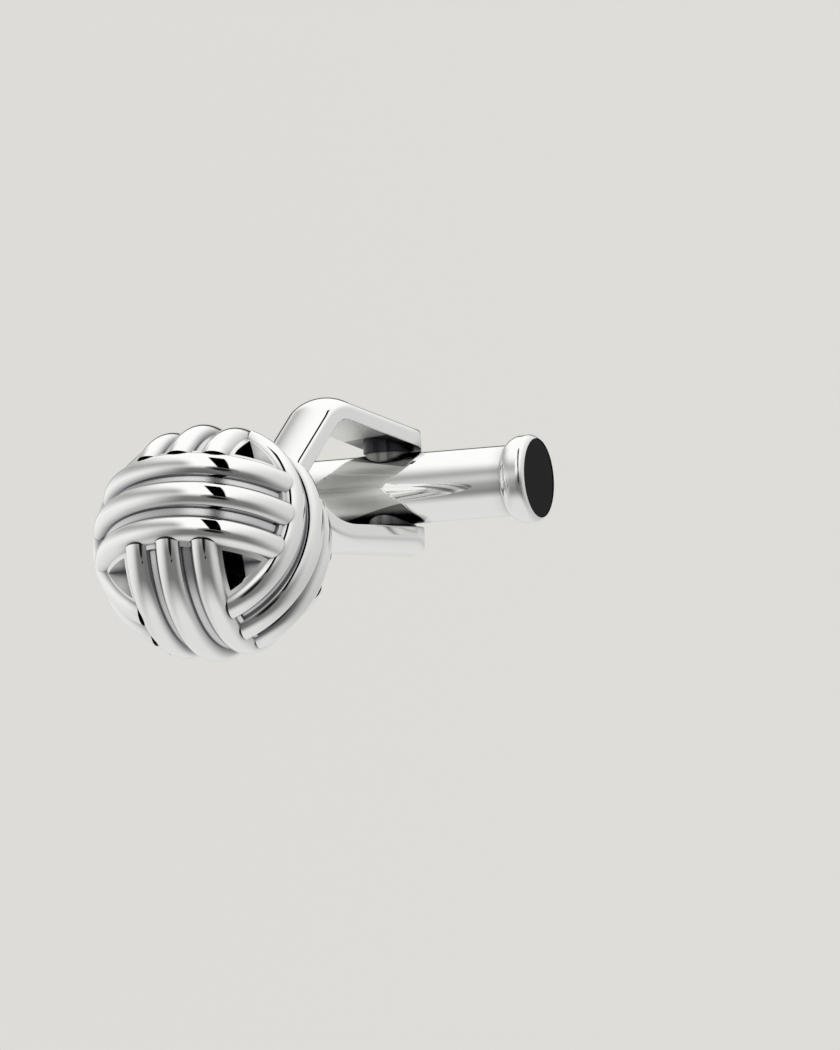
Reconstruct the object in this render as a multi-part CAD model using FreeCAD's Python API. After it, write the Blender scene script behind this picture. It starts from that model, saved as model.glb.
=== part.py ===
# Knot cufflink: a woven steel ball on a bent strap, and a swivelling toggle bar with black end inlays.
# Units are millimetres. The origin is the centre of the swivel pin.
# X runs from the ball towards the bar, Y along the swivel pin, Z across the width of the strap.
import FreeCAD, Part
import math
import os

V = FreeCAD.Vector

# Knot ball
ball_radius = 7.0
flat_share = 0.2
ball_along_leg = 0.86
ball_side = 1.2
flat_gap = 0.25
strand_radius = 0.88
strand_gap = 0.24
wall_gap = 0.22
groove_depth = 0.45
knot_turn = 60.0
knot_tilt = 21.7

# Toggle bar
bar_angle = 60.0
tube_radius = 2.13
tube_wall = 0.53
tube_half = 7.85
cap_flange = 0.5
cap_length = 1.7
cap_back_round = 0.85
cap_front_round = 0.5
spigot_length = 2.0
inlay_rim = 0.28
inlay_depth = 0.5
inlay_step = 0.05

# Swivel
pin_radius = 0.75
pin_clearance = 0.03
pin_sink = 0.3
bush_radius = 1.4
bush_stand = 0.03
thrust_gap = 0.02
seat_radius = 1.5
upper_seat_height = 0.37
lower_seat_height = 0.2

# Strap
strap_width = 4.4
strap_thickness = 0.82
strap_crown = 0.75
strap_edge = 0.25
arm_tip = 1.45
tip_corner = 1.3
arm_slope = 15.6
vertex_back = 7.8
vertex_lift = 0.34
lower_leg_angle = 50.7
upper_leg_angle = 52.0
lower_bend = 3.0
vertex_bend = 0.6
upper_bend = 0.9

# Post between strap and ball
post_radius = 1.4
post_along_leg = 1.3

# Sizes that follow from the ones above
ball_flat = flat_share * ball_radius
strand_pitch = 2 * strand_radius + strand_gap
core_half = strand_pitch + strand_radius + wall_gap
core_rim = ball_radius - groove_depth
tube_bore = tube_radius - tube_wall
cap_radius = tube_radius + cap_flange
cap_end = tube_half + cap_length
inlay_radius = cap_radius - inlay_rim
inlay_top = cap_end - inlay_step
bush_half = tube_radius + bush_stand
seat_level = bush_half + thrust_gap
upper_inner = seat_level + upper_seat_height
lower_inner = -seat_level - lower_seat_height
strap_half = strap_width / 2
strap_crest = strap_thickness + strap_crown
crown_radius = (strap_half ** 2 + strap_crown ** 2) / (2 * strap_crown)

# Cutting tools reach well past the part on every side.
reach = 4 * (2 * ball_radius + vertex_back + cap_end)

os.makedirs("parts", exist_ok=True)


def save(name, shape):
    """Write one solid to its own file."""
    print(name, "solids", len(shape.Solids), "valid", shape.isValid(), "mm3", round(shape.Volume, 3))
    shape.Solids[0].exportStep("parts/" + name + ".step")


def largest(shape):
    """Keep the biggest solid of a cut."""
    return sorted(shape.Solids, key=lambda solid: solid.Volume)[-1]


def block(x0, x1, y0, y1, z0, z1):
    return Part.makeBox(x1 - x0, y1 - y0, z1 - z0, V(x0, y0, z0))


def rod(radius, start, stop):
    """Round bar from one point to another."""
    return Part.makeCylinder(radius, (stop - start).Length, start, stop - start)


def polar(angle):
    """Unit heading in the XY plane."""
    return V(math.cos(math.radians(angle)), math.sin(math.radians(angle)), 0)


def meet(point, heading, other, onward):
    """Crossing point of two lines in the XY plane."""
    across = V(0, 0, 1).cross(onward)
    return point + heading * ((other - point).dot(across) / heading.dot(across))


# Strap: one crowned section carried along four straight runs and three bends.
def strap_section(point, heading):
    """Cross-section at a point of the strap's inner line, square to the heading, with soft outer edges."""
    out = V(0, 0, 1).cross(heading)

    def spot(across, height):
        return point + V(0, 0, across) + out * height

    hub = strap_crest - crown_radius
    edge_in = strap_half - strap_edge
    edge_level = hub + math.sqrt((crown_radius - strap_edge) ** 2 - edge_in ** 2)
    lean = math.atan2(edge_in, edge_level - hub)
    join = (crown_radius * math.sin(lean), hub + crown_radius * math.cos(lean))
    half_way = (math.pi / 2 + lean) / 2
    bulge = (edge_in + strap_edge * math.sin(half_way), edge_level + strap_edge * math.cos(half_way))
    crown = Part.Arc(spot(*join), spot(0, strap_crest), spot(-join[0], join[1])).toShape()
    sides = [Part.makeLine(spot(-strap_half, 0), spot(strap_half, 0)), crown]
    for side in (-1, 1):
        foot, shoulder = spot(side * strap_half, 0), spot(side * strap_half, edge_level)
        sides.append(Part.makeLine(foot, shoulder))
        sides.append(Part.Arc(shoulder, spot(side * bulge[0], bulge[1]), spot(side * join[0], join[1])).toShape())
    return Part.Face(Part.Wire(Part.__sortEdges__(sides)))


def tongue_outline():
    """Plan of the strap with rounded corners at the arm tips."""
    shoulder = arm_tip - tip_corner
    middle = block(-reach, arm_tip, -reach, reach, -strap_half + tip_corner, strap_half - tip_corner)
    pieces = [middle]
    for side in (-1, 1):
        foot = V(shoulder, -reach, side * (strap_half - tip_corner))
        pieces.append(rod(tip_corner, foot, foot + V(0, 2 * reach, 0)))
    return block(-reach, shoulder, -reach, reach, -strap_half, strap_half).multiFuse(pieces).removeSplitter()


lower_leg = polar(180 - lower_leg_angle)
upper_leg = polar(upper_leg_angle)
upper_arm = polar(-arm_slope)
vertex = V(-vertex_back, vertex_lift, 0)


def strap_solid():
    """Bent strap from the tip of the lower arm round to the tip of the upper arm."""
    lower_start = V(reach, lower_inner, 0)
    lower_corner = meet(vertex, lower_leg, lower_start, V(1, 0, 0))
    upper_corner = meet(vertex, upper_leg, V(0, upper_inner, 0), upper_arm)
    headings = [V(-1, 0, 0), lower_leg, upper_leg, upper_arm]
    corners = [lower_corner, vertex, upper_corner]
    start = lower_start
    pieces = []
    for corner, bend, heading, onward in zip(corners, (lower_bend, vertex_bend, upper_bend), headings, headings[1:]):
        turn = heading.getAngle(onward)
        run_in = bend * math.tan(turn / 2)
        stop = corner - heading * run_in
        hub = stop + heading.cross(V(0, 0, 1)) * bend
        section = strap_section(stop, heading)
        pieces.append(strap_section(start, heading).extrude(stop - start))
        pieces.append(section.revolve(hub, V(0, 0, -1), math.degrees(turn)))
        start = corner + onward * run_in
    pieces.append(strap_section(start, upper_arm).extrude(upper_arm * reach))
    whole = pieces[0].multiFuse(pieces[1:]).removeSplitter()
    return largest(whole.common(tongue_outline()))


strap = strap_solid()
pin_hole = rod(pin_radius, V(0, -reach, 0), V(0, reach, 0))
save("bracket", strap.cut(pin_hole))

# The ball stands on the sloping lower leg. Its back is cut flat, just clear of the crest of the leg.
leg_normal = V(0, 0, 1).cross(lower_leg)
leg_crest = vertex + leg_normal * strap_crest
flat_level = leg_crest + leg_normal * flat_gap
ball_centre = flat_level + leg_normal * (ball_radius - ball_flat) + lower_leg * ball_along_leg + V(0, 0, ball_side)
beyond_leg = block(-reach, reach, -reach, reach, -reach, 0)
beyond_leg.Placement = FreeCAD.Placement(flat_level, FreeCAD.Rotation(V(0, 0, 1), leg_normal))

# Post: a short foot soldered between the flat and the crowned outside of the strap.
post_foot = flat_level - lower_leg * post_along_leg
post_rod = rod(post_radius, post_foot, post_foot - leg_normal * (flat_gap + strap_crest))
post_pieces = post_rod.cut(strap).Solids
post = sorted(post_pieces, key=lambda solid: solid.CenterOfMass.distanceToPoint(post_foot))[0]
save("mounting_post", post)

# Knot: six saddles of three strands round a core. Each saddle passes over one neighbour and under another.
turn_angle = math.radians(knot_turn)
tilt_angle = math.radians(knot_tilt)
knot_x = V(math.cos(turn_angle), 0, math.sin(turn_angle))
level_z = V(-math.sin(turn_angle), 0, math.cos(turn_angle))
knot_z = level_z * math.cos(tilt_angle) + V(0, 1, 0) * math.sin(tilt_angle)
knot_y = knot_z.cross(knot_x)
knot_place = FreeCAD.Placement(ball_centre, FreeCAD.Rotation(knot_x, knot_y, knot_z, "ZXY"))

# Name of each saddle, the way it faces and the way its strands run.
saddles = (
    ("front", V(0, 0, 1), V(1, 0, 0)),
    ("back", V(0, 0, -1), V(1, 0, 0)),
    ("right", V(1, 0, 0), V(0, 1, 0)),
    ("left", V(-1, 0, 0), V(0, 1, 0)),
    ("top", V(0, 1, 0), V(0, 0, 1)),
    ("bottom", V(0, -1, 0), V(0, 0, 1)),
)
above_core = block(-reach, reach, -reach, reach, core_half, reach)


def strand_solid(offset):
    """One round strand curved about the ball's centre and cut level with the neighbouring wall."""
    path = math.sqrt((ball_radius - strand_radius) ** 2 - offset ** 2)
    ring = Part.makeTorus(path, strand_radius, V(0, offset, 0), V(0, 1, 0))
    return largest(ring.common(above_core))


def cheek_solid():
    """Solid cheek under one saddle: a piece of a ball as wide as the three strands."""
    slab = block(-reach, reach, -core_half, core_half, core_half, reach)
    return Part.makeSphere(core_rim, V(0, 0, 0), V(0, 1, 0)).common(slab)


core = block(-core_half, core_half, -core_half, core_half, -core_half, core_half)
cheeks = []
strands = []
for name, out, run in saddles:
    place = FreeCAD.Placement(V(0, 0, 0), FreeCAD.Rotation(run, out.cross(run), out, "ZXY"))
    cheek = cheek_solid()
    cheek.Placement = place
    cheeks.append(cheek)
    for number in (1, 2, 3):
        strand = strand_solid((number - 2) * strand_pitch)
        strand.Placement = knot_place.multiply(place)
        strand = largest(strand.cut(beyond_leg))
        save("strand_" + name + "_" + str(number), strand)
        strands.append(strand)
core = core.multiFuse(cheeks).removeSplitter()
core.Placement = knot_place
save("knot_core", largest(core.cut(strands + [beyond_leg])))

# Swivel pin and the two seats that take up the slope of the arms, all fixed in the strap.
upper_crest = upper_inner + strap_crest / math.cos(math.radians(arm_slope))
save("pivot_pin", rod(pin_radius, V(0, lower_inner - strap_crest + pin_sink, 0), V(0, upper_crest - pin_sink, 0)))
seat_rod = rod(seat_radius, V(0, seat_level, 0), V(0, reach, 0)).cut([pin_hole, strap])
save("upper_seat", sorted(seat_rod.Solids, key=lambda solid: solid.CenterOfMass.y)[0])
save("lower_seat", rod(seat_radius, V(0, lower_inner, 0), V(0, -seat_level, 0)).cut(pin_hole))

# Toggle bar, drawn along X and turned about the pin.
bar_place = FreeCAD.Placement(V(0, 0, 0), FreeCAD.Rotation(V(0, 1, 0), -bar_angle))
bush_rod = rod(bush_radius, V(0, -bush_half, 0), V(0, bush_half, 0))
running_bore = rod(pin_radius + pin_clearance, V(0, -reach, 0), V(0, reach, 0))
tube_rod = rod(tube_radius, V(-tube_half, 0, 0), V(tube_half, 0, 0))
tube = tube_rod.cut([rod(tube_bore, V(-reach, 0, 0), V(reach, 0, 0)), bush_rod])
tube.Placement = bar_place
save("toggle_tube", tube)
save("pivot_bushing", bush_rod.cut(running_bore))


def rounding(level, end):
    """Arc in the XY plane that starts level with the bar and falls away to its end point."""
    run, fall = end.x - level.x, level.y - end.y
    radius = (run ** 2 + fall ** 2) / (2 * fall)
    half = math.atan2(run, radius - fall) / 2
    middle = level + V(radius * math.sin(half), radius * (math.cos(half) - 1), 0)
    return Part.Arc(level, middle, end).toShape()


def cap_solid():
    """Rounded end cap with a spigot inside the tube and a shallow recess for the inlay."""
    back_foot, back_top = V(tube_half, tube_radius, 0), V(tube_half + cap_back_round, cap_radius, 0)
    front_top, front_foot = V(cap_end - cap_front_round, cap_radius, 0), V(cap_end, inlay_radius, 0)
    inside = [front_foot, V(inlay_top - inlay_depth, inlay_radius, 0), V(inlay_top - inlay_depth, 0, 0)]
    spigot = [V(tube_half - spigot_length, 0, 0), V(tube_half - spigot_length, tube_bore, 0)]
    corners = inside + spigot + [V(tube_half, tube_bore, 0), back_foot]
    edges = [Part.makeLine(start, stop) for start, stop in zip(corners, corners[1:])]
    edges += [rounding(back_top, back_foot), Part.makeLine(back_top, front_top), rounding(front_top, front_foot)]
    return Part.Face(Part.Wire(Part.__sortEdges__(edges))).revolve(V(0, 0, 0), V(1, 0, 0), 360)


for label, half_turn in (("outer", 0), ("inner", 180)):
    end_place = bar_place.multiply(FreeCAD.Placement(V(0, 0, 0), FreeCAD.Rotation(V(0, 1, 0), half_turn)))
    cap = cap_solid()
    cap.Placement = end_place
    save("cap_" + label, cap)
    inlay = rod(inlay_radius, V(inlay_top - inlay_depth, 0, 0), V(inlay_top, 0, 0))
    inlay.Placement = end_place
    save("inlay_" + label, inlay)
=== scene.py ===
# Knot cufflink: the looks of the woven steel ball, its strap and the toggle bar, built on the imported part.
# Sizes are in millimetres. A value times MM is in metres, and the others become metres in their mesh.
import math
import bmesh
import bpy
from mathutils import Matrix, Vector


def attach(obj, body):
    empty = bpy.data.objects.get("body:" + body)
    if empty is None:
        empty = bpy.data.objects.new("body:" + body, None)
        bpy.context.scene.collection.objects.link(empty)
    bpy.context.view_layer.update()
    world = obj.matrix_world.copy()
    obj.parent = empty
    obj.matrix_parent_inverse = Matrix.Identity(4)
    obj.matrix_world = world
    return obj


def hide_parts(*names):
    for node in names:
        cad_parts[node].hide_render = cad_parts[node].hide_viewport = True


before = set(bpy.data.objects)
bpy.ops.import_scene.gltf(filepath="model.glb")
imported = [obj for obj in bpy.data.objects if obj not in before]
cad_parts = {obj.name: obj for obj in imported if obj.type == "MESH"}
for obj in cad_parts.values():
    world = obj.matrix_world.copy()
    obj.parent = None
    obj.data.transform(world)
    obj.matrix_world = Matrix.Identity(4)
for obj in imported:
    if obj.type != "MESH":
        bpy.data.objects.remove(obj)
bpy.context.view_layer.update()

# Strap: one strip of stainless steel with a crowned outside, bent into two arms and a leg.
# It is pressed to shape in four straight runs and three bends, with rounded tongues at both ends.
# The outside is mirror-polished. The flat inside, where the polishing wheel doesn't reach, stays satin.
MM = 0.001
painted_shade_reach = 0.9 * MM
painted_shade_shut = 0.55
painted_shade_open = 0.98
painted_shade_rays = 8
haze_detail = 3.0


def linear(code):
    """Hex colour code as linear red, green, blue and alpha."""
    parts = [int(code[i:i + 2], 16) / 255 for i in (1, 3, 5)]
    return [c / 12.92 if c <= 0.04045 else ((c + 0.055) / 1.055) ** 2.4 for c in parts] + [1.0]


def add_node(tree, kind, inputs=None, **settings):
    """Add a node. An input takes a value, a socket, or a node whose first live output it reads."""
    node = tree.nodes.new(kind)
    for name, value in settings.items():
        setattr(node, name, value)
    for name, value in (inputs or {}).items():
        if isinstance(value, bpy.types.Node):
            value = next(socket for socket in value.outputs if socket.enabled)
        if isinstance(value, bpy.types.NodeSocket):
            tree.links.new(value, node.inputs[name])
        else:
            node.inputs[name].default_value = value
    return node


def metal(name, colour, painted_shade_colour, roughness, grain):
    """Steel whose roughness wanders between two values, with shade painted in a darker colour where its
    crevices are closed in.
    """
    material = bpy.data.materials.new(name)
    material.use_nodes = True
    tree = material.node_tree
    place = add_node(tree, "ShaderNodeTexCoord").outputs["Object"]
    marks = {"Vector": place, "Scale": 1 / grain, "Detail": haze_detail}
    haze = add_node(tree, "ShaderNodeTexNoise", marks)
    haze_span = {"Value": haze.outputs["Fac"], "To Min": roughness[0], "To Max": roughness[1]}
    spread = add_node(tree, "ShaderNodeMapRange", haze_span)
    # Painted shade: ambient occlusion mixes the colour towards the darker shade colour in closed-in
    # crevices.
    reach = {"Distance": painted_shade_reach}
    crevice = add_node(tree, "ShaderNodeAmbientOcclusion", reach, samples=painted_shade_rays)
    unshaded_span = {"Value": crevice.outputs["AO"], "From Min": painted_shade_shut, "From Max": painted_shade_open}
    unshaded_share = add_node(tree, "ShaderNodeMapRange", unshaded_span)
    colours = {0: unshaded_share, 6: linear(painted_shade_colour), 7: linear(colour)}
    painted_shade_mix = add_node(tree, "ShaderNodeMix", colours, data_type="RGBA")
    surface = tree.nodes["Principled BSDF"]
    surface.inputs["Metallic"].default_value = 1.0
    tree.links.new(painted_shade_mix.outputs[2], surface.inputs["Base Color"])
    tree.links.new(spread.outputs["Result"], surface.inputs["Roughness"])
    return material


# Mirror-polished stainless steel gives sharp, bright reflections. Its seams and grooves are painted a mid
# grey shade.
# The wheel's marks are finer than the picture shows, so their haze is drawn 0.6 mm wide.
polished_steel = metal(
    "polished steel", colour="#F2F2F0", painted_shade_colour="#898A8D", roughness=(0.02, 0.05), grain=0.6 * MM
)
# Satin steel, tumbled with fine grit of 0.05 mm, spreads the light into an even pale grey, with a faint
# painted shade in its crevices.
satin_steel = metal(
    "satin steel", colour="#F8F8F6", painted_shade_colour="#E0E0DE", roughness=(0.42, 0.46), grain=0.05 * MM
)
# Round the swivel the same steel is painted darker, as the shadow of the tube on the inside of the arms, and
# darker still as painted shade in its crevices.
shade_painted_satin_steel = metal(
    "satin steel painted with shadow", colour="#9A9A98", painted_shade_colour="#3A3A3C", roughness=(0.3, 0.34), grain=0.05 * MM
)
edge_angle = math.radians(35)


def finish_piece(name, mesh_edit, material, nodes, body):
    """Turn an edited mesh into a piece that stands for CAD nodes and rides on their body."""
    bmesh.ops.recalc_face_normals(mesh_edit, faces=mesh_edit.faces)
    for face in mesh_edit.faces:
        # Cuts and ends are faces with many corners, and stay flat.
        face.smooth = len(face.verts) <= 4
    mesh = bpy.data.meshes.new(name)
    mesh_edit.to_mesh(mesh)
    mesh_edit.free()
    mesh.set_sharp_from_angle(angle=edge_angle)
    mesh.materials.append(material)
    piece = bpy.data.objects.new(name, mesh)
    bpy.context.scene.collection.objects.link(piece)
    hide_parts(*nodes)
    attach(piece, body)
    return piece


strap_half = 2.2
strap_thickness = 0.82
strap_crest = 1.57
strap_edge = 0.25
inner_edge = 0.08
tip_edge = 0.1
edge_margin = 0.03
arm_tip = 1.45
tip_corner = 1.3
lower_inner = -2.38
upper_inner = 2.55
arm_slope = math.radians(15.6)
strap_vertex = Vector((-7.8, 0.34, 0))
bends = (3.0, 0.6, 0.9)
headings = [math.pi, math.radians(180 - 50.7), math.radians(52.0), -arm_slope]
crown_fall = strap_crest - strap_thickness
crown_radius = (strap_half ** 2 + crown_fall ** 2) / (2 * crown_fall)
shoulder = arm_tip - tip_corner
inside_points = 8
inner_edge_steps = 6
outer_edge_steps = 12
crown_points = 20
tip_steps = 24
tip_edge_steps = 6
run_step = 0.2
fewest_runs = 4
bend_step = 1.5


def crown_height(across):
    """Height of the crowned outside above the flat inside."""
    return strap_crest - crown_radius + math.sqrt(crown_radius ** 2 - across ** 2)


def ease(start, corner, end, steps):
    """Points of a soft bend from start to end that leans towards the corner."""
    points = []
    for k in range(steps + 1):
        q = k / steps
        weights = ((1 - q) ** 2, 2 * q * (1 - q), q ** 2)
        points.append(tuple(sum(w * p[i] for w, p in zip(weights, (start, corner, end))) for i in (0, 1)))
    return points


def strap_section(half, inset):
    """Closed outline (across, height) of the strap with soft outer edges and broken inner edges."""
    half -= inset
    floor_in = half - inner_edge
    crown_in = half - strap_edge
    side = crown_height(half) - inset
    crown_foot = (crown_in, crown_height(crown_in) - inset)
    right = [(floor_in * k / inside_points, inset) for k in range(inside_points)]
    right += [(floor_in - edge_margin, inset)]
    right += ease((floor_in, inset), (half, inset), (half, inset + inner_edge), inner_edge_steps)
    right += [(half, inset + inner_edge + edge_margin), (half, side - strap_edge - edge_margin)]
    right += ease((half, side - strap_edge), (half, side), crown_foot, outer_edge_steps)
    for k in range(crown_points - 1, -1, -1):
        across = crown_in * k / crown_points
        right.append((across, crown_height(across) - inset))
    left = [(-across, height) for across, height in reversed(right[1:-1])]
    return right + left


def crossing(a, heading_a, b, heading_b):
    """Where two lines in the XY plane meet."""
    da = Vector((math.cos(heading_a), math.sin(heading_a), 0))
    db = Vector((math.cos(heading_b), math.sin(heading_b), 0))
    return a + da * ((b - a).cross(db).z / da.cross(db).z)


def tongue_half(reach):
    """Half the width of a rounded tongue at a distance from the swivel."""
    return strap_half - tip_corner + math.sqrt(max(tip_corner ** 2 - (reach - shoulder) ** 2, 0))


def tongue_tips():
    """Distance from the swivel, half width and inset along a tongue, out to its broken end."""
    tips = []
    for k in range(tip_steps + 1):
        reach = shoulder + (tip_corner - tip_edge) * math.sin(math.pi / 2 * k / tip_steps)
        tips.append((reach, tongue_half(reach), 0))
    for k in range(1, tip_edge_steps + 1):
        angle = math.pi / 2 * k / tip_edge_steps
        reach = arm_tip - tip_edge + tip_edge * math.sin(angle)
        tips.append((reach, tongue_half(reach), tip_edge * (1 - math.cos(angle))))
    return tips


def strap_stations():
    """Points of the inner line with their heading, half width, end inset and lean."""
    corners = [
        crossing(strap_vertex, headings[1], Vector((0, lower_inner, 0)), headings[0]),
        strap_vertex,
        crossing(strap_vertex, headings[2], Vector((0, upper_inner, 0)), headings[3]),
    ]
    tips = tongue_tips()
    stations = []
    for reach, half, inset in reversed(tips):
        stations.append((Vector((reach, lower_inner, 0)), headings[0], half, inset, 0))
    start = Vector((shoulder, lower_inner, 0))
    for corner, bend, heading, onward in zip(corners, bends, headings, headings[1:]):
        turn = heading - onward
        run_in = bend * math.tan(turn / 2)
        ahead = Vector((math.cos(heading), math.sin(heading), 0))
        stop = corner - ahead * run_in
        count = max(fewest_runs, int((stop - start).length / run_step))
        for k in range(1, count + 1):
            stations.append((start.lerp(stop, k / count), heading, strap_half, 0, 0))
        hub = stop + Vector((math.sin(heading), -math.cos(heading), 0)) * bend
        steps = int(math.degrees(turn) / bend_step)
        for k in range(1, steps + 1):
            angle = heading - turn * k / steps
            point = hub + Vector((-math.sin(angle), math.cos(angle), 0)) * bend
            stations.append((point, angle, strap_half, 0, 0))
        start = corner + Vector((math.cos(onward), math.sin(onward), 0)) * run_in
    slope = math.tan(arm_slope)
    run = shoulder - start.x
    count = int(run / run_step)
    for k in range(1, count + 1):
        x = start.x + run * k / count
        point = Vector((x, upper_inner - x * slope, 0))
        stations.append((point, headings[3], strap_half, 0, -slope * k / count))
    for reach, half, inset in tips[1:]:
        point = Vector((reach, upper_inner - reach * slope, 0))
        stations.append((point, headings[3], half, inset, -slope))
    return stations


strap_edit = bmesh.new()
rows = []
painted_shadow_from = -1.9
satin_slot = 1
painted_shadow_slot = 2
for point, heading, half, inset, lean in strap_stations():
    ahead = Vector((math.cos(heading), math.sin(heading), 0))
    up = Vector((-math.sin(heading), math.cos(heading), 0)) + ahead * lean
    row = []
    for across, height in strap_section(half, inset):
        row.append(strap_edit.verts.new((point + up * height + Vector((0, 0, across))) * MM))
    rows.append(row)
for row, following in zip(rows, rows[1:]):
    for k in range(len(row)):
        n = (k + 1) % len(row)
        face = strap_edit.faces.new((row[k], row[n], following[n], following[k]))
        # The satin inside is painted with shadow near the swivel, where the tube lies over it.
        if min(k, len(row) - 1 - k) < inside_points:
            face.material_index = painted_shadow_slot if row[k].co.x > painted_shadow_from * MM else satin_slot
strap_edit.faces.new(rows[0])
strap_edit.faces.new(rows[-1])
strap = finish_piece("strap", strap_edit, polished_steel, ["bracket"], "head")
strap.data.materials.append(satin_steel)
strap.data.materials.append(shade_painted_satin_steel)

# Post: a short steel stud between the ball and the strap, soldered at both ends.
# It keeps the CAD's own shape, with its facets joined, and is satin because no wheel reaches it.
weld_distance = 0.0005 * MM


def smooth_copy(node):
    """The CAD node's mesh with its loose triangles joined."""
    copy = bmesh.new()
    copy.from_mesh(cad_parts[node].data)
    bmesh.ops.remove_doubles(copy, verts=copy.verts, dist=weld_distance)
    return copy


finish_piece("post", smooth_copy("mounting_post"), satin_steel, ["mounting_post"], "head")

# Knot core: a steel block with a rounded cheek on each face, cast in one piece and polished.
# The strands lie in the cheeks, whose walls show in the open corners of the knot.
# The back is cut flat where the post is soldered on.
ball_radius = 7.0 * MM
ball_flat = 0.2 * ball_radius
ball_along_leg = 0.86 * MM
ball_side = 1.2 * MM
flat_gap = 0.25 * MM
strand_radius = 0.88 * MM
strand_pitch = 2.0 * MM
groove_depth = 0.45 * MM
core_half = 3.1 * MM
core_sink = 0.02 * MM
seam_depth = 0.2 * MM
seam_reach = 0.3 * MM
core_rim = ball_radius - groove_depth
knot_turn = math.radians(60)
knot_tilt = math.radians(21.7)
leg_heading = Vector((math.cos(headings[1]), math.sin(headings[1]), 0))
leg_normal = Vector((0, 0, 1)).cross(leg_heading)
flat_level = (strap_vertex + leg_normal * strap_crest) * MM + leg_normal * flat_gap
ball_centre = flat_level + leg_normal * (ball_radius - ball_flat) + leg_heading * ball_along_leg
ball_centre += Vector((0, 0, ball_side))
knot_x = Vector((math.cos(knot_turn), 0, math.sin(knot_turn)))
level_z = Vector((-math.sin(knot_turn), 0, math.cos(knot_turn)))
knot_z = level_z * math.cos(knot_tilt) + Vector((0, math.sin(knot_tilt), 0))
knot_axes = Matrix((knot_x, knot_z.cross(knot_x), knot_z)).transposed()
# Each saddle of three strands faces outwards from the ball and runs along another axis of the knot.
saddles = {
    "front": (Vector((0, 0, 1)), Vector((1, 0, 0))),
    "back": (Vector((0, 0, -1)), Vector((1, 0, 0))),
    "right": (Vector((1, 0, 0)), Vector((0, 1, 0))),
    "left": (Vector((-1, 0, 0)), Vector((0, 1, 0))),
    "top": (Vector((0, 1, 0)), Vector((0, 0, 1))),
    "bottom": (Vector((0, -1, 0)), Vector((0, 0, 1))),
}
saddle_axes = {}
for name, (outward, run) in saddles.items():
    saddle_axes[name] = knot_axes @ Matrix((run, outward.cross(run), outward)).transposed()
# Steel in the seams is duller, because the wheel only brushes it, and blurs what it mirrors.
# Its grain is the satin steel's grit, and its closed-in corners are painted a pale grey shade.
seam_steel = metal(
    "steel in the seams", colour="#F2F2F0", painted_shade_colour="#A6A6A8", roughness=(0.2, 0.26), grain=0.05 * MM
)
seam_slot = 1
cheek_steps = 64
cheek_rows = 48


def cut_flat(edit, sink):
    """Cut the back of the ball flat, a little deeper by the sink, and close the cut."""
    parts = edit.verts[:] + edit.edges[:] + edit.faces[:]
    level = flat_level + leg_normal * sink
    bmesh.ops.bisect_plane(edit, geom=parts, plane_co=level, plane_no=leg_normal, clear_inner=True)
    bmesh.ops.holes_fill(edit, edges=[edge for edge in edit.edges if edge.is_boundary])


core_edit = bmesh.new()
core_place = Matrix.Translation(ball_centre) @ knot_axes.to_4x4()
bmesh.ops.create_cube(core_edit, size=2 * core_half, matrix=core_place)
for axes in saddle_axes.values():
    arcs = []
    for j in range(cheek_rows + 1):
        side = core_half * (2 * j / cheek_rows - 1)
        between_strands = abs(abs(side) - strand_pitch / 2) < seam_reach
        level = core_rim - seam_depth if between_strands else core_rim
        radius = math.sqrt(level ** 2 - side ** 2)
        reach = math.acos(core_half / radius)
        arc = []
        for k in range(cheek_steps + 1):
            angle = reach * (2 * k / cheek_steps - 1)
            spot = Vector((radius * math.sin(angle), side, radius * math.cos(angle)))
            arc.append(core_edit.verts.new(ball_centre + axes @ spot))
        arcs.append(arc)
    for low, high in zip(arcs, arcs[1:]):
        for k in range(cheek_steps):
            face = core_edit.faces.new((low[k], low[k + 1], high[k + 1], high[k]))
            face.material_index = seam_slot
    core_edit.faces.new(arcs[0])
    core_edit.faces.new(arcs[-1])
    core_edit.faces.new([arc[0] for arc in arcs] + [arc[-1] for arc in reversed(arcs)])
cut_flat(core_edit, core_sink)
core = finish_piece("core", core_edit, polished_steel, ["knot_core"], "head")
core.data.materials.append(seam_steel)

# Strands: eighteen round polished steel wires, three to a saddle, bent about the centre of the ball.
# Their ends are tucked under the neighbouring saddles and soldered. One tree bends a sheet into a wire,
# repeats it on all six saddles, and runs once for each of the three places side by side.
strand_tuck = 0.25 * MM
wire_length_points = 97
wire_round_points = 49
wire_weld = 0.001 * MM
strand_tree = bpy.data.node_groups.new("wire on six saddles", "GeometryNodeTree")
interface = strand_tree.interface
interface.new_socket("Geometry", in_out="INPUT", socket_type="NodeSocketGeometry")
sizes = {}
for label in ("Path radius", "Wire radius", "Side offset", "Wall level"):
    sizes[label] = interface.new_socket(label, in_out="INPUT", socket_type="NodeSocketFloat").identifier
finish_socket = interface.new_socket("Finish", in_out="INPUT", socket_type="NodeSocketMaterial")
sizes["Finish"] = finish_socket.identifier
interface.new_socket("Geometry", in_out="OUTPUT", socket_type="NodeSocketGeometry")
given = add_node(strand_tree, "NodeGroupInput").outputs

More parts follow.
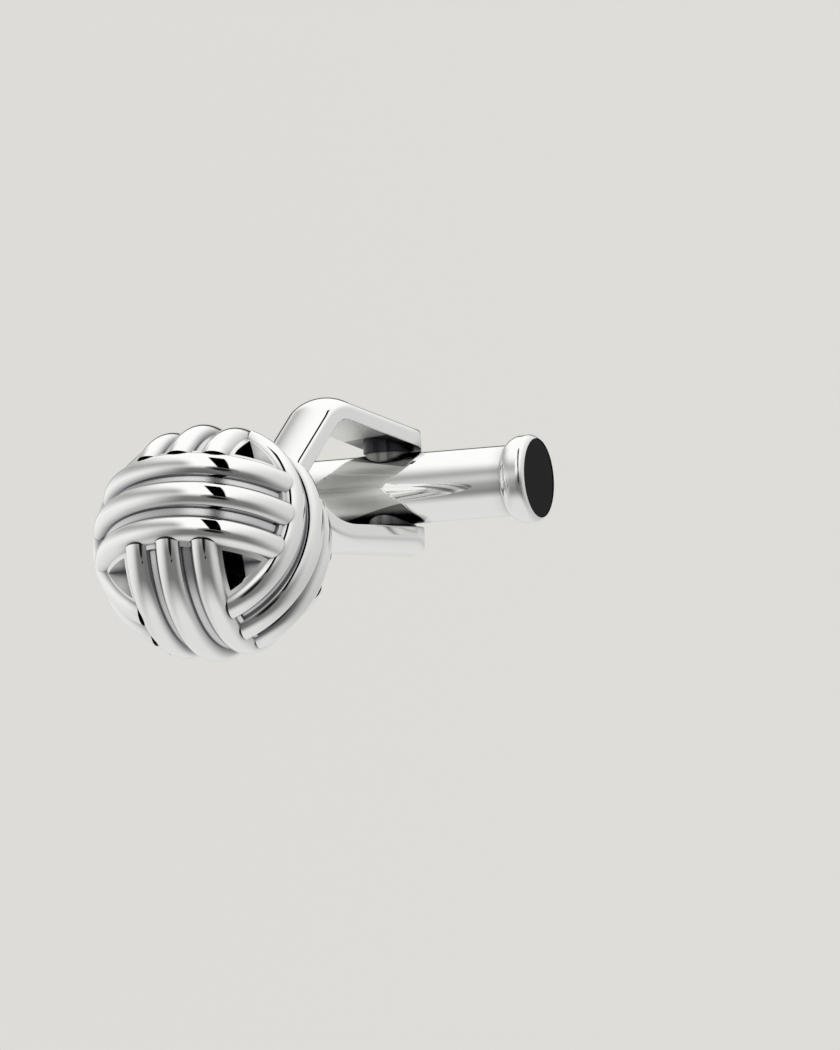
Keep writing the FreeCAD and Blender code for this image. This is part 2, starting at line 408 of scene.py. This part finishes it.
# The sheet is two long and one wide, so X runs from one end of the wire to the other and Y once round it.
sheet_size = {
    "Size X": 2.0,
    "Size Y": 1.0,
    "Vertices X": wire_length_points,
    "Vertices Y": wire_round_points,
}
sheet = add_node(strand_tree, "GeometryNodeMeshGrid", sheet_size)
sheet_point = add_node(strand_tree, "GeometryNodeInputPosition")
on_sheet = add_node(strand_tree, "ShaderNodeSeparateXYZ", {"Vector": sheet_point}).outputs
full_turn = {0: on_sheet["Y"], 1: 2 * math.pi}
round_angle = add_node(strand_tree, "ShaderNodeMath", full_turn, operation="MULTIPLY")
round_cosine = add_node(strand_tree, "ShaderNodeMath", {0: round_angle}, operation="COSINE")
round_sine = add_node(strand_tree, "ShaderNodeMath", {0: round_angle}, operation="SINE")
ring_sum = {0: round_cosine, 1: given["Wire radius"], 2: given["Path radius"]}
ring = add_node(strand_tree, "ShaderNodeMath", ring_sum, operation="MULTIPLY_ADD")
wall_share = add_node(strand_tree, "ShaderNodeMath", {0: given["Wall level"], 1: ring}, operation="DIVIDE")
end_angle = add_node(strand_tree, "ShaderNodeMath", {0: wall_share}, operation="ARCCOSINE")
along = add_node(strand_tree, "ShaderNodeMath", {0: on_sheet["X"], 1: end_angle}, operation="MULTIPLY")
along_sine = add_node(strand_tree, "ShaderNodeMath", {0: along}, operation="SINE")
along_cosine = add_node(strand_tree, "ShaderNodeMath", {0: along}, operation="COSINE")
wire_x = add_node(strand_tree, "ShaderNodeMath", {0: ring, 1: along_sine}, operation="MULTIPLY")
side_sum = {0: round_sine, 1: given["Wire radius"], 2: given["Side offset"]}
wire_y = add_node(strand_tree, "ShaderNodeMath", side_sum, operation="MULTIPLY_ADD")
wire_z = add_node(strand_tree, "ShaderNodeMath", {0: ring, 1: along_cosine}, operation="MULTIPLY")
bent = add_node(strand_tree, "ShaderNodeCombineXYZ", {"X": wire_x, "Y": wire_y, "Z": wire_z})
open_wire = add_node(strand_tree, "GeometryNodeSetPosition", {"Geometry": sheet, "Position": bent})
joint = {"Geometry": open_wire, "Distance": wire_weld}
wire = add_node(strand_tree, "GeometryNodeMergeByDistance", joint)
saddle_turn = add_node(
    strand_tree, "GeometryNodeInputNamedAttribute", {"Name": "turn"}, data_type="QUATERNION"
).outputs["Attribute"]
on_saddles = {"Points": given["Geometry"], "Instance": wire, "Rotation": saddle_turn}
copies = add_node(strand_tree, "GeometryNodeInstanceOnPoints", on_saddles)
real = add_node(strand_tree, "GeometryNodeRealizeInstances", {"Geometry": copies})
finish = {"Geometry": real, "Material": given["Finish"]}
finished = add_node(strand_tree, "GeometryNodeSetMaterial", finish)
add_node(strand_tree, "NodeGroupOutput", {"Geometry": finished})

for number in (1, 2, 3):
    offset = (number - 2) * strand_pitch
    centres = bpy.data.meshes.new("saddle centres")
    centres.from_pydata([ball_centre] * len(saddles), [], [])
    turns = centres.attributes.new("turn", "QUATERNION", "POINT")
    for k, axes in enumerate(saddle_axes.values()):
        turns.data[k].value = axes.to_quaternion()
    maker = bpy.data.objects.new("strand maker", centres)
    bpy.context.scene.collection.objects.link(maker)
    bend = maker.modifiers.new("wires", "NODES")
    bend.node_group = strand_tree
    bend[sizes["Path radius"]] = math.sqrt((ball_radius - strand_radius) ** 2 - offset ** 2)
    bend[sizes["Wire radius"]] = strand_radius
    bend[sizes["Side offset"]] = offset
    bend[sizes["Wall level"]] = core_half - strand_tuck
    bend[sizes["Finish"]] = polished_steel
    made = bpy.data.meshes.new_from_object(maker.evaluated_get(bpy.context.evaluated_depsgraph_get()))
    wires = bmesh.new()
    wires.from_mesh(made)
    bmesh.ops.holes_fill(wires, edges=[edge for edge in wires.edges if edge.is_boundary])
    cut_flat(wires, 0)
    bpy.data.objects.remove(maker)
    bpy.data.meshes.remove(made)
    names = ["strand_" + name + "_" + str(number) for name in saddles]
    finish_piece("wires_" + str(number), wires, polished_steel, names, "head")

# Swivel: a steel pin riveted through both arms, a seat against each arm, and the bushing on the pin.
# All four are turned on a lathe and keep the CAD's own shapes.
# Turned steel has fine rings that dull its shine. They are too fine to show, so their haze is 0.3 mm wide.
# Its crevices are painted dark grey with shade.
turned_steel = metal(
    "turned steel", colour="#C9C9C6", painted_shade_colour="#55565A", roughness=(0.16, 0.26), grain=0.3 * MM
)
# Burnished steel, rubbed smooth and darkened in oil, is nearly black with a soft shine, and painted blacker
# with shade in its crevices.
dark_steel = metal(
    "burnished steel", colour="#3C3D40", painted_shade_colour="#1A1A1C", roughness=(0.2, 0.3), grain=0.3 * MM
)
finish_piece("turned_pin", smooth_copy("pivot_pin"), turned_steel, ["pivot_pin"], "head")
for node in ("upper_seat", "lower_seat"):
    finish_piece("turned_" + node, smooth_copy(node), dark_steel, [node], "head")
# The bushing takes the same satin steel, painted dark with shade.
bushing_edit = smooth_copy("pivot_bushing")
finish_piece("turned_bushing", bushing_edit, shade_painted_satin_steel, ["pivot_bushing"], "toggle")

# Tube: the body of the toggle bar, a drawn steel tube polished like the strap.
# It is a profile (along the bar, radius) turned about the bar, drilled across for the bushing.
bar_turn = Matrix.Rotation(math.radians(-60), 3, "Y")
bar_segments = 160
tube_radius = 2.13
tube_bore = 1.6
tube_half = 7.85
bush_radius = 1.4
hole_side = 1.45
hole_segments = 96
drill_length = 4 * tube_radius


def turned(profile, facing):
    """Turn a closed profile about the bar. Facing is 1 for the outer end and -1 for the inner end."""
    edit = bmesh.new()
    rings = []
    for along, radius in profile:
        ring_verts = []
        for k in range(bar_segments if radius > 0 else 1):
            angle = 2 * math.pi * k / bar_segments
            spot = Vector((along, radius * math.cos(angle), radius * math.sin(angle)))
            if facing < 0:
                spot = Vector((-spot.x, spot.y, -spot.z))
            ring_verts.append(edit.verts.new(bar_turn @ spot * MM))
        rings.append(ring_verts)
    for a, b in zip(rings, rings[1:] + rings[:1]):
        if len(a) == 1 and len(b) == 1:
            continue
        for k in range(bar_segments):
            n = (k + 1) % bar_segments
            corners = [a[k % len(a)], a[n % len(a)], b[n % len(b)], b[k % len(b)]]
            edit.faces.new(list(dict.fromkeys(corners)))
    return edit


def drilled(edit, radius):
    """The piece with a round hole along the pin through both of its walls."""
    drill = bmesh.new()
    bmesh.ops.create_cone(
        drill,
        cap_ends=True,
        segments=hole_segments,
        radius1=radius * MM,
        radius2=radius * MM,
        depth=drill_length * MM,
        matrix=Matrix.Rotation(math.radians(90), 4, "X"),
    )
    blanks = []
    for solid in (edit, drill):
        bmesh.ops.recalc_face_normals(solid, faces=solid.faces)
        blank_mesh = bpy.data.meshes.new("blank")
        solid.to_mesh(blank_mesh)
        solid.free()
        blank = bpy.data.objects.new("blank", blank_mesh)
        bpy.context.scene.collection.objects.link(blank)
        blanks.append(blank)
    cut = blanks[0].modifiers.new("hole", "BOOLEAN")
    cut.operation = "DIFFERENCE"
    cut.solver = "EXACT"
    cut.object = blanks[1]
    made = bpy.data.meshes.new_from_object(blanks[0].evaluated_get(bpy.context.evaluated_depsgraph_get()))
    result = bmesh.new()
    result.from_mesh(made)
    for blank in blanks:
        bpy.data.meshes.remove(blank.data)
    bpy.data.meshes.remove(made)
    return result


# The rings on both sides of the hole keep the uneven faces that the cut leaves under the seats.
outer_wall = [(along, tube_radius) for along in (-tube_half, -hole_side, hole_side, tube_half)]
tube_profile = outer_wall + [(along, tube_bore) for along, radius in reversed(outer_wall)]
tube_edit = drilled(turned(tube_profile, 1), bush_radius)
tube = finish_piece("tube", tube_edit, polished_steel, ["toggle_tube"], "toggle")
tube.data.shade_smooth()

# Caps: two turned steel ends with a rounded flange, pressed into the tube by a spigot.
# The front of each is recessed for its inlay.
cap_radius = 2.63
cap_end = 9.55
cap_back_round = 0.85
cap_front_round = 0.5
spigot_length = 2.0
inlay_radius = 2.35
inlay_seat = 9.0
cap_steps = 24
# The caps are polished with less pressure than the tube, so their reflections are softer. Their crevices
# take a light grey painted shade.
soft_steel = metal(
    "softly polished steel", colour="#F2F2F0", painted_shade_colour="#B4B4B4", roughness=(0.13, 0.17), grain=0.3 * MM
)


def falling_arc(level, end, steps):
    """Points of an arc that starts level with the bar and falls away to its end."""
    run = end[0] - level[0]
    fall = level[1] - end[1]
    radius = (run ** 2 + fall ** 2) / (2 * fall)
    sweep = math.atan2(abs(run), radius - fall)
    side = 1 if run > 0 else -1
    angles = [sweep * k / steps for k in range(1, steps + 1)]
    return [(level[0] + side * radius * math.sin(a), level[1] - radius * (1 - math.cos(a))) for a in angles]


back_top = (tube_half + cap_back_round, cap_radius)
front_top = (cap_end - cap_front_round, cap_radius)
spigot_end = tube_half - spigot_length
cap_profile = [(spigot_end, 0), (spigot_end, tube_bore), (tube_half, tube_bore)]
cap_profile += reversed(falling_arc(back_top, (tube_half, tube_radius), cap_steps))
cap_profile += [back_top, front_top]
cap_profile += falling_arc(front_top, (cap_end, inlay_radius), cap_steps)
cap_profile += [(inlay_seat, inlay_radius), (inlay_seat, 0)]
ends = {"outer": 1, "inner": -1}
for label, facing in ends.items():
    cap_edit = turned(cap_profile, facing)
    finish_piece("end_cap_" + label, cap_edit, soft_steel, ["cap_" + label], "toggle")

# Inlays: discs of glossy black plastic with a softened edge, moulded to size.
# They are glued into the recesses of the caps, just below the rims.
inlay_top = 9.5
inlay_soft = 0.08
inlay_margin = 0.05
inlay_steps = 6
flow_width = 0.4 * MM
# Moulded black plastic is a deep black with a faint gloss. It wavers a little as the plastic flowed,
# over 0.4 mm or so.
black_gloss = bpy.data.materials.new("black gloss inlay")
black_gloss.use_nodes = True
gloss_tree = black_gloss.node_tree
gloss_place = add_node(gloss_tree, "ShaderNodeTexCoord").outputs["Object"]
gloss_haze = add_node(gloss_tree, "ShaderNodeTexNoise", {"Vector": gloss_place, "Scale": 1 / flow_width})
gloss_span = {"Value": gloss_haze.outputs["Fac"], "To Min": 0.05, "To Max": 0.11}
gloss_rough = add_node(gloss_tree, "ShaderNodeMapRange", gloss_span)
gloss = gloss_tree.nodes["Principled BSDF"]
gloss.inputs["Base Color"].default_value = linear("#050506")
gloss.inputs["Specular IOR Level"].default_value = 0.02
gloss_tree.links.new(gloss_rough.outputs["Result"], gloss.inputs["Roughness"])

edge_start = (inlay_top - inlay_soft, inlay_radius)
edge_end = (inlay_top, inlay_radius - inlay_soft)
inlay_profile = [(inlay_seat, 0), (inlay_seat, inlay_radius), edge_start]
inlay_profile += falling_arc(edge_start, edge_end, inlay_steps)
inlay_profile += [(inlay_top, edge_end[1] - inlay_margin), (inlay_top, 0)]
for label, facing in ends.items():
    inlay_edit = turned(inlay_profile, facing)
    finish_piece("end_inlay_" + label, inlay_edit, black_gloss, ["inlay_" + label], "toggle")

# Floor: one wide sheet of pale matt paper, well below the part so that its shadow falls softly.
# To the eye and in the steel it mostly glows in its own colour, which keeps the background even.
floor_level = -0.2
floor_size = 6.0
paper_colour = linear("#E2E1DD")
glow_share = 0.85
bpy.ops.mesh.primitive_plane_add(size=floor_size, location=(0, 0, floor_level))
floor = bpy.context.object
floor.name = "floor"
paper = bpy.data.materials.new("pale paper")
paper.use_nodes = True
paper_tree = paper.node_tree
paper_tree.nodes.clear()
matte = add_node(paper_tree, "ShaderNodeBsdfDiffuse", {"Color": paper_colour})
paper_glow = add_node(paper_tree, "ShaderNodeEmission", {"Color": paper_colour, "Strength": 1.0})
rays = add_node(paper_tree, "ShaderNodeLightPath").outputs
eye = {0: rays["Is Camera Ray"], 1: rays["Is Glossy Ray"]}
seen = add_node(paper_tree, "ShaderNodeMath", eye, operation="MAXIMUM")
glass = {0: seen, 1: rays["Is Transmission Ray"]}
seen_through = add_node(paper_tree, "ShaderNodeMath", glass, operation="MAXIMUM")
glowing = add_node(paper_tree, "ShaderNodeMath", {0: seen_through, 1: glow_share}, operation="MULTIPLY")
sheet_look = add_node(paper_tree, "ShaderNodeMixShader", {0: glowing, 1: matte, 2: paper_glow})
add_node(paper_tree, "ShaderNodeOutputMaterial", {"Surface": sheet_look})
floor.data.materials.append(paper)

# Camera: a long lens that looks down on the part, with its directions worked out from the photo.
# It is rolled so that the swivel pin stands upright in the picture.
view_right = Vector((0.796, -0.038, 0.604)).normalized()
view_back = Vector((-0.605, -0.100, 0.790))
view_back = (view_back - view_right * view_back.dot(view_right)).normalized()
view_up = view_back.cross(view_right)
centre_right = 1.78
centre_down = 2.076
picture_centre = view_right * centre_right * MM - view_up * centre_down * MM
picture_width = 49.83 * MM
camera_distance = 0.6
lens = bpy.data.cameras.new("camera")
lens.sensor_fit = "HORIZONTAL"
lens.sensor_width = 36.0
lens.lens = lens.sensor_width * camera_distance / picture_width
lens.clip_start = 0.01
lens.clip_end = 20.0
camera = bpy.data.objects.new("camera", lens)
turn_matrix = Matrix((view_right, view_up, view_back)).transposed().to_4x4()
camera.matrix_world = Matrix.Translation(picture_centre + view_back * camera_distance) @ turn_matrix
bpy.context.scene.collection.objects.link(camera)
bpy.context.scene.camera = camera

# Light: a tent of white cloth round the part, open towards the camera, in a plain pale studio.
# It is brightest at the top, and greyer low in front, at its mouth and in a fold at the upper left.
# A dark slit along its top gives the short black bars on the strands.
world = bpy.data.worlds.new("pale studio")
bpy.context.scene.world = world
world.use_nodes = True
studio = world.node_tree.nodes["Background"]
studio.inputs["Color"].default_value = paper_colour
studio.inputs["Strength"].default_value = 1.0

tent_radius = 0.075
tent_back = -0.15
tent_front = 0.35
tent_sides = 96
slit_place = -0.0075
slit_lean = 0.07
slit_half = 0.0068
slit_flare = 0.08
slit_end = 0.3
slit_top = 0.012
front_grey = 0.2
band_shift = 0.06
cloth = bpy.data.materials.new("lit cloth")
cloth.use_nodes = True
cloth_tree = cloth.node_tree
cloth_tree.nodes.clear()

# Where a point of the cloth lies, in metres or shares of the radius, and its direction from the part.
cloth_place = add_node(cloth_tree, "ShaderNodeTexCoord").outputs["Object"]
cloth_heading = add_node(cloth_tree, "ShaderNodeVectorMath", {0: cloth_place}, operation="NORMALIZE")
directions = {
    "depth": (cloth_place, view_back),
    "upward": (cloth_place, view_up / tent_radius),
    "across": (cloth_place, view_right),
    "height": (cloth_heading, view_up),
    "side": (cloth_heading, view_right),
    "toward": (cloth_heading, view_back),
}
measured = {}
for label, (arrow, axis) in directions.items():
    dot = {0: arrow, 1: axis}
    measured[label] = add_node(cloth_tree, "ShaderNodeVectorMath", dot, operation="DOT_PRODUCT")
from_band = add_node(cloth_tree, "ShaderNodeMath", {0: measured["side"], 1: band_shift}, operation="ADD")
measured["off_band"] = add_node(cloth_tree, "ShaderNodeMath", {0: from_band}, operation="ABSOLUTE")
slit_centre = {0: measured["depth"], 1: slit_lean, 2: slit_place}
slit_line = add_node(cloth_tree, "ShaderNodeMath", slit_centre, operation="MULTIPLY_ADD")
across_slit = {0: measured["across"], 1: slit_line}
off_slit = add_node(cloth_tree, "ShaderNodeMath", across_slit, operation="SUBTRACT")
slit_distance = add_node(cloth_tree, "ShaderNodeMath", {0: off_slit}, operation="ABSOLUTE")
slit_growth = {0: measured["depth"], 1: slit_flare, 2: slit_half}
slit_width = add_node(cloth_tree, "ShaderNodeMath", slit_growth, operation="MULTIPLY_ADD")
slit_share = {0: slit_distance, 1: slit_width}
measured["slit"] = add_node(cloth_tree, "ShaderNodeMath", slit_share, operation="DIVIDE")

# Each shade follows one measure from a low to a high end, and takes the two values given after them.
cloth_shades = {
    "top": ("upward", -1.0, 0.3, 0.8, 1.1),
    "side": ("across", 0.2 * tent_radius, tent_radius, 1.0, 0.65),
    "mouth": ("depth", 0.16, 0.3, 0.0, 1.0),
    "lower_half": ("height", -0.15, 0.4, 1.0, 0.0),
    "off_floor": ("height", -0.85, -0.45, 0.0, 1.0),
    "near_camera": ("off_band", 0.4, 0.95, 1.0, 0.0),
    "ahead": ("toward", -0.1, 0.2, 0.0, 1.0),
    "far_end": ("upward", -0.2, 0.7, 0.75, 0.03),
    "before_far_end": ("depth", -0.12, -0.09, 0.0, 1.0),
    "beside_slit": ("slit", 0.85, 1.0, 0.0, 1.0),
    "left": ("side", -0.6, -0.38, 1.0, 0.0),
    "far_from_top": ("height", 0.45, 0.93, 0.6, 0.0),
    "above_part": ("height", -0.05, 0.5, 0.15, 1.0),
}
shades = {}
for label, (measure, low, high, at_low, at_high) in cloth_shades.items():
    span = {"From Min": low, "From Max": high, "To Min": at_low, "To Max": at_high}
    span["Value"] = measured[measure]
    shades[label] = add_node(cloth_tree, "ShaderNodeMapRange", span, interpolation_type="SMOOTHSTEP")
band = shades["lower_half"]
for label in ("off_floor", "near_camera", "ahead"):
    band = add_node(cloth_tree, "ShaderNodeMath", {0: band, 1: shades[label]}, operation="MULTIPLY")
fold = shades["left"]
for label in ("far_from_top", "above_part"):
    fold = add_node(cloth_tree, "ShaderNodeMath", {0: fold, 1: shades[label]}, operation="MULTIPLY")
unfolded = add_node(cloth_tree, "ShaderNodeMath", {0: 1.0, 1: fold}, operation="SUBTRACT")
wall = unfolded
for label in ("top", "side"):
    wall = add_node(cloth_tree, "ShaderNodeMath", {0: wall, 1: shades[label]}, operation="MULTIPLY")
grey_share = add_node(cloth_tree, "ShaderNodeMath", {0: band, 1: shades["mouth"]}, operation="MAXIMUM")
hall = add_node(cloth_tree, "ShaderNodeMix", {0: grey_share, 2: wall, 3: front_grey}, data_type="FLOAT")
far_mix = {0: shades["before_far_end"], 2: shades["far_end"], 3: hall}
lit = add_node(cloth_tree, "ShaderNodeMix", far_mix, data_type="FLOAT")

# The slit is open only in the upper half of the cloth, or right at the mouth, and not behind the part.
below = add_node(cloth_tree, "ShaderNodeMath", {0: measured["upward"], 1: 0.0}, operation="LESS_THAN")
inside = add_node(cloth_tree, "ShaderNodeMath", {0: measured["depth"], 1: slit_end}, operation="LESS_THAN")
low_cloth = add_node(cloth_tree, "ShaderNodeMath", {0: below, 1: inside}, operation="MULTIPLY")
behind_top = {0: measured["depth"], 1: slit_top}
far_back = add_node(cloth_tree, "ShaderNodeMath", behind_top, operation="LESS_THAN")
whole_cloth = add_node(cloth_tree, "ShaderNodeMath", {0: low_cloth, 1: far_back}, operation="MAXIMUM")
uncut = {0: shades["beside_slit"], 1: whole_cloth}
cloth_share = add_node(cloth_tree, "ShaderNodeMath", uncut, operation="MAXIMUM")
strength = add_node(cloth_tree, "ShaderNodeMath", {0: lit, 1: cloth_share}, operation="MULTIPLY")
cloth_glow = add_node(cloth_tree, "ShaderNodeEmission", {"Color": linear("#FFFFFF"), "Strength": strength})
add_node(cloth_tree, "ShaderNodeOutputMaterial", {"Surface": cloth_glow})

tent_edit = bmesh.new()
tent_rings = []
for depth in (tent_back, tent_front):
    ring_verts = []
    for k in range(tent_sides):
        angle = 2 * math.pi * k / tent_sides
        outward = view_right * math.cos(angle) + view_up * math.sin(angle)
        ring_verts.append(tent_edit.verts.new(outward * tent_radius + view_back * depth))
    tent_rings.append(ring_verts)
back_ring, front_ring = tent_rings
for k in range(tent_sides):
    n = (k + 1) % tent_sides
    tent_edit.faces.new((back_ring[k], back_ring[n], front_ring[n], front_ring[k]))
tent_mesh = bpy.data.meshes.new("tent")
tent_edit.to_mesh(tent_mesh)
tent_edit.free()
tent_mesh.materials.append(cloth)
tent = bpy.data.objects.new("tent", tent_mesh)
tent.visible_camera = False
bpy.context.scene.collection.objects.link(tent)

# Card: the dark end of the room behind the camera, seen only in the steel.
# It is black round the camera itself and as grey as the tent's mouth beyond.
card_size = 0.4
card_distance = 0.75
black_reach = 0.1
grey_reach = 1.5 * black_reach
camera_black = 0.01
room_end = bpy.data.materials.new("dark room end")
room_end.use_nodes = True
room_tree = room_end.node_tree
room_tree.nodes.clear()
room_place = add_node(room_tree, "ShaderNodeTexCoord").outputs["Object"]
room_reach = add_node(room_tree, "ShaderNodeVectorMath", {0: room_place}, operation="LENGTH")
dark_span = {"From Min": black_reach, "From Max": grey_reach, "To Min": camera_black, "To Max": front_grey}
room_light = add_node(room_tree, "ShaderNodeMapRange", {"Value": room_reach, **dark_span})
room_glow = add_node(room_tree, "ShaderNodeEmission", {"Strength": room_light})
add_node(room_tree, "ShaderNodeOutputMaterial", {"Surface": room_glow})
bpy.ops.mesh.primitive_plane_add(size=card_size)
camera_card = bpy.context.object
camera_card.name = "card_behind_camera"
camera_card.matrix_world = Matrix.Translation(view_back * card_distance) @ turn_matrix
camera_card.visible_camera = False
camera_card.data.materials.append(room_end)

bpy.context.scene.view_settings.view_transform = "Standard"
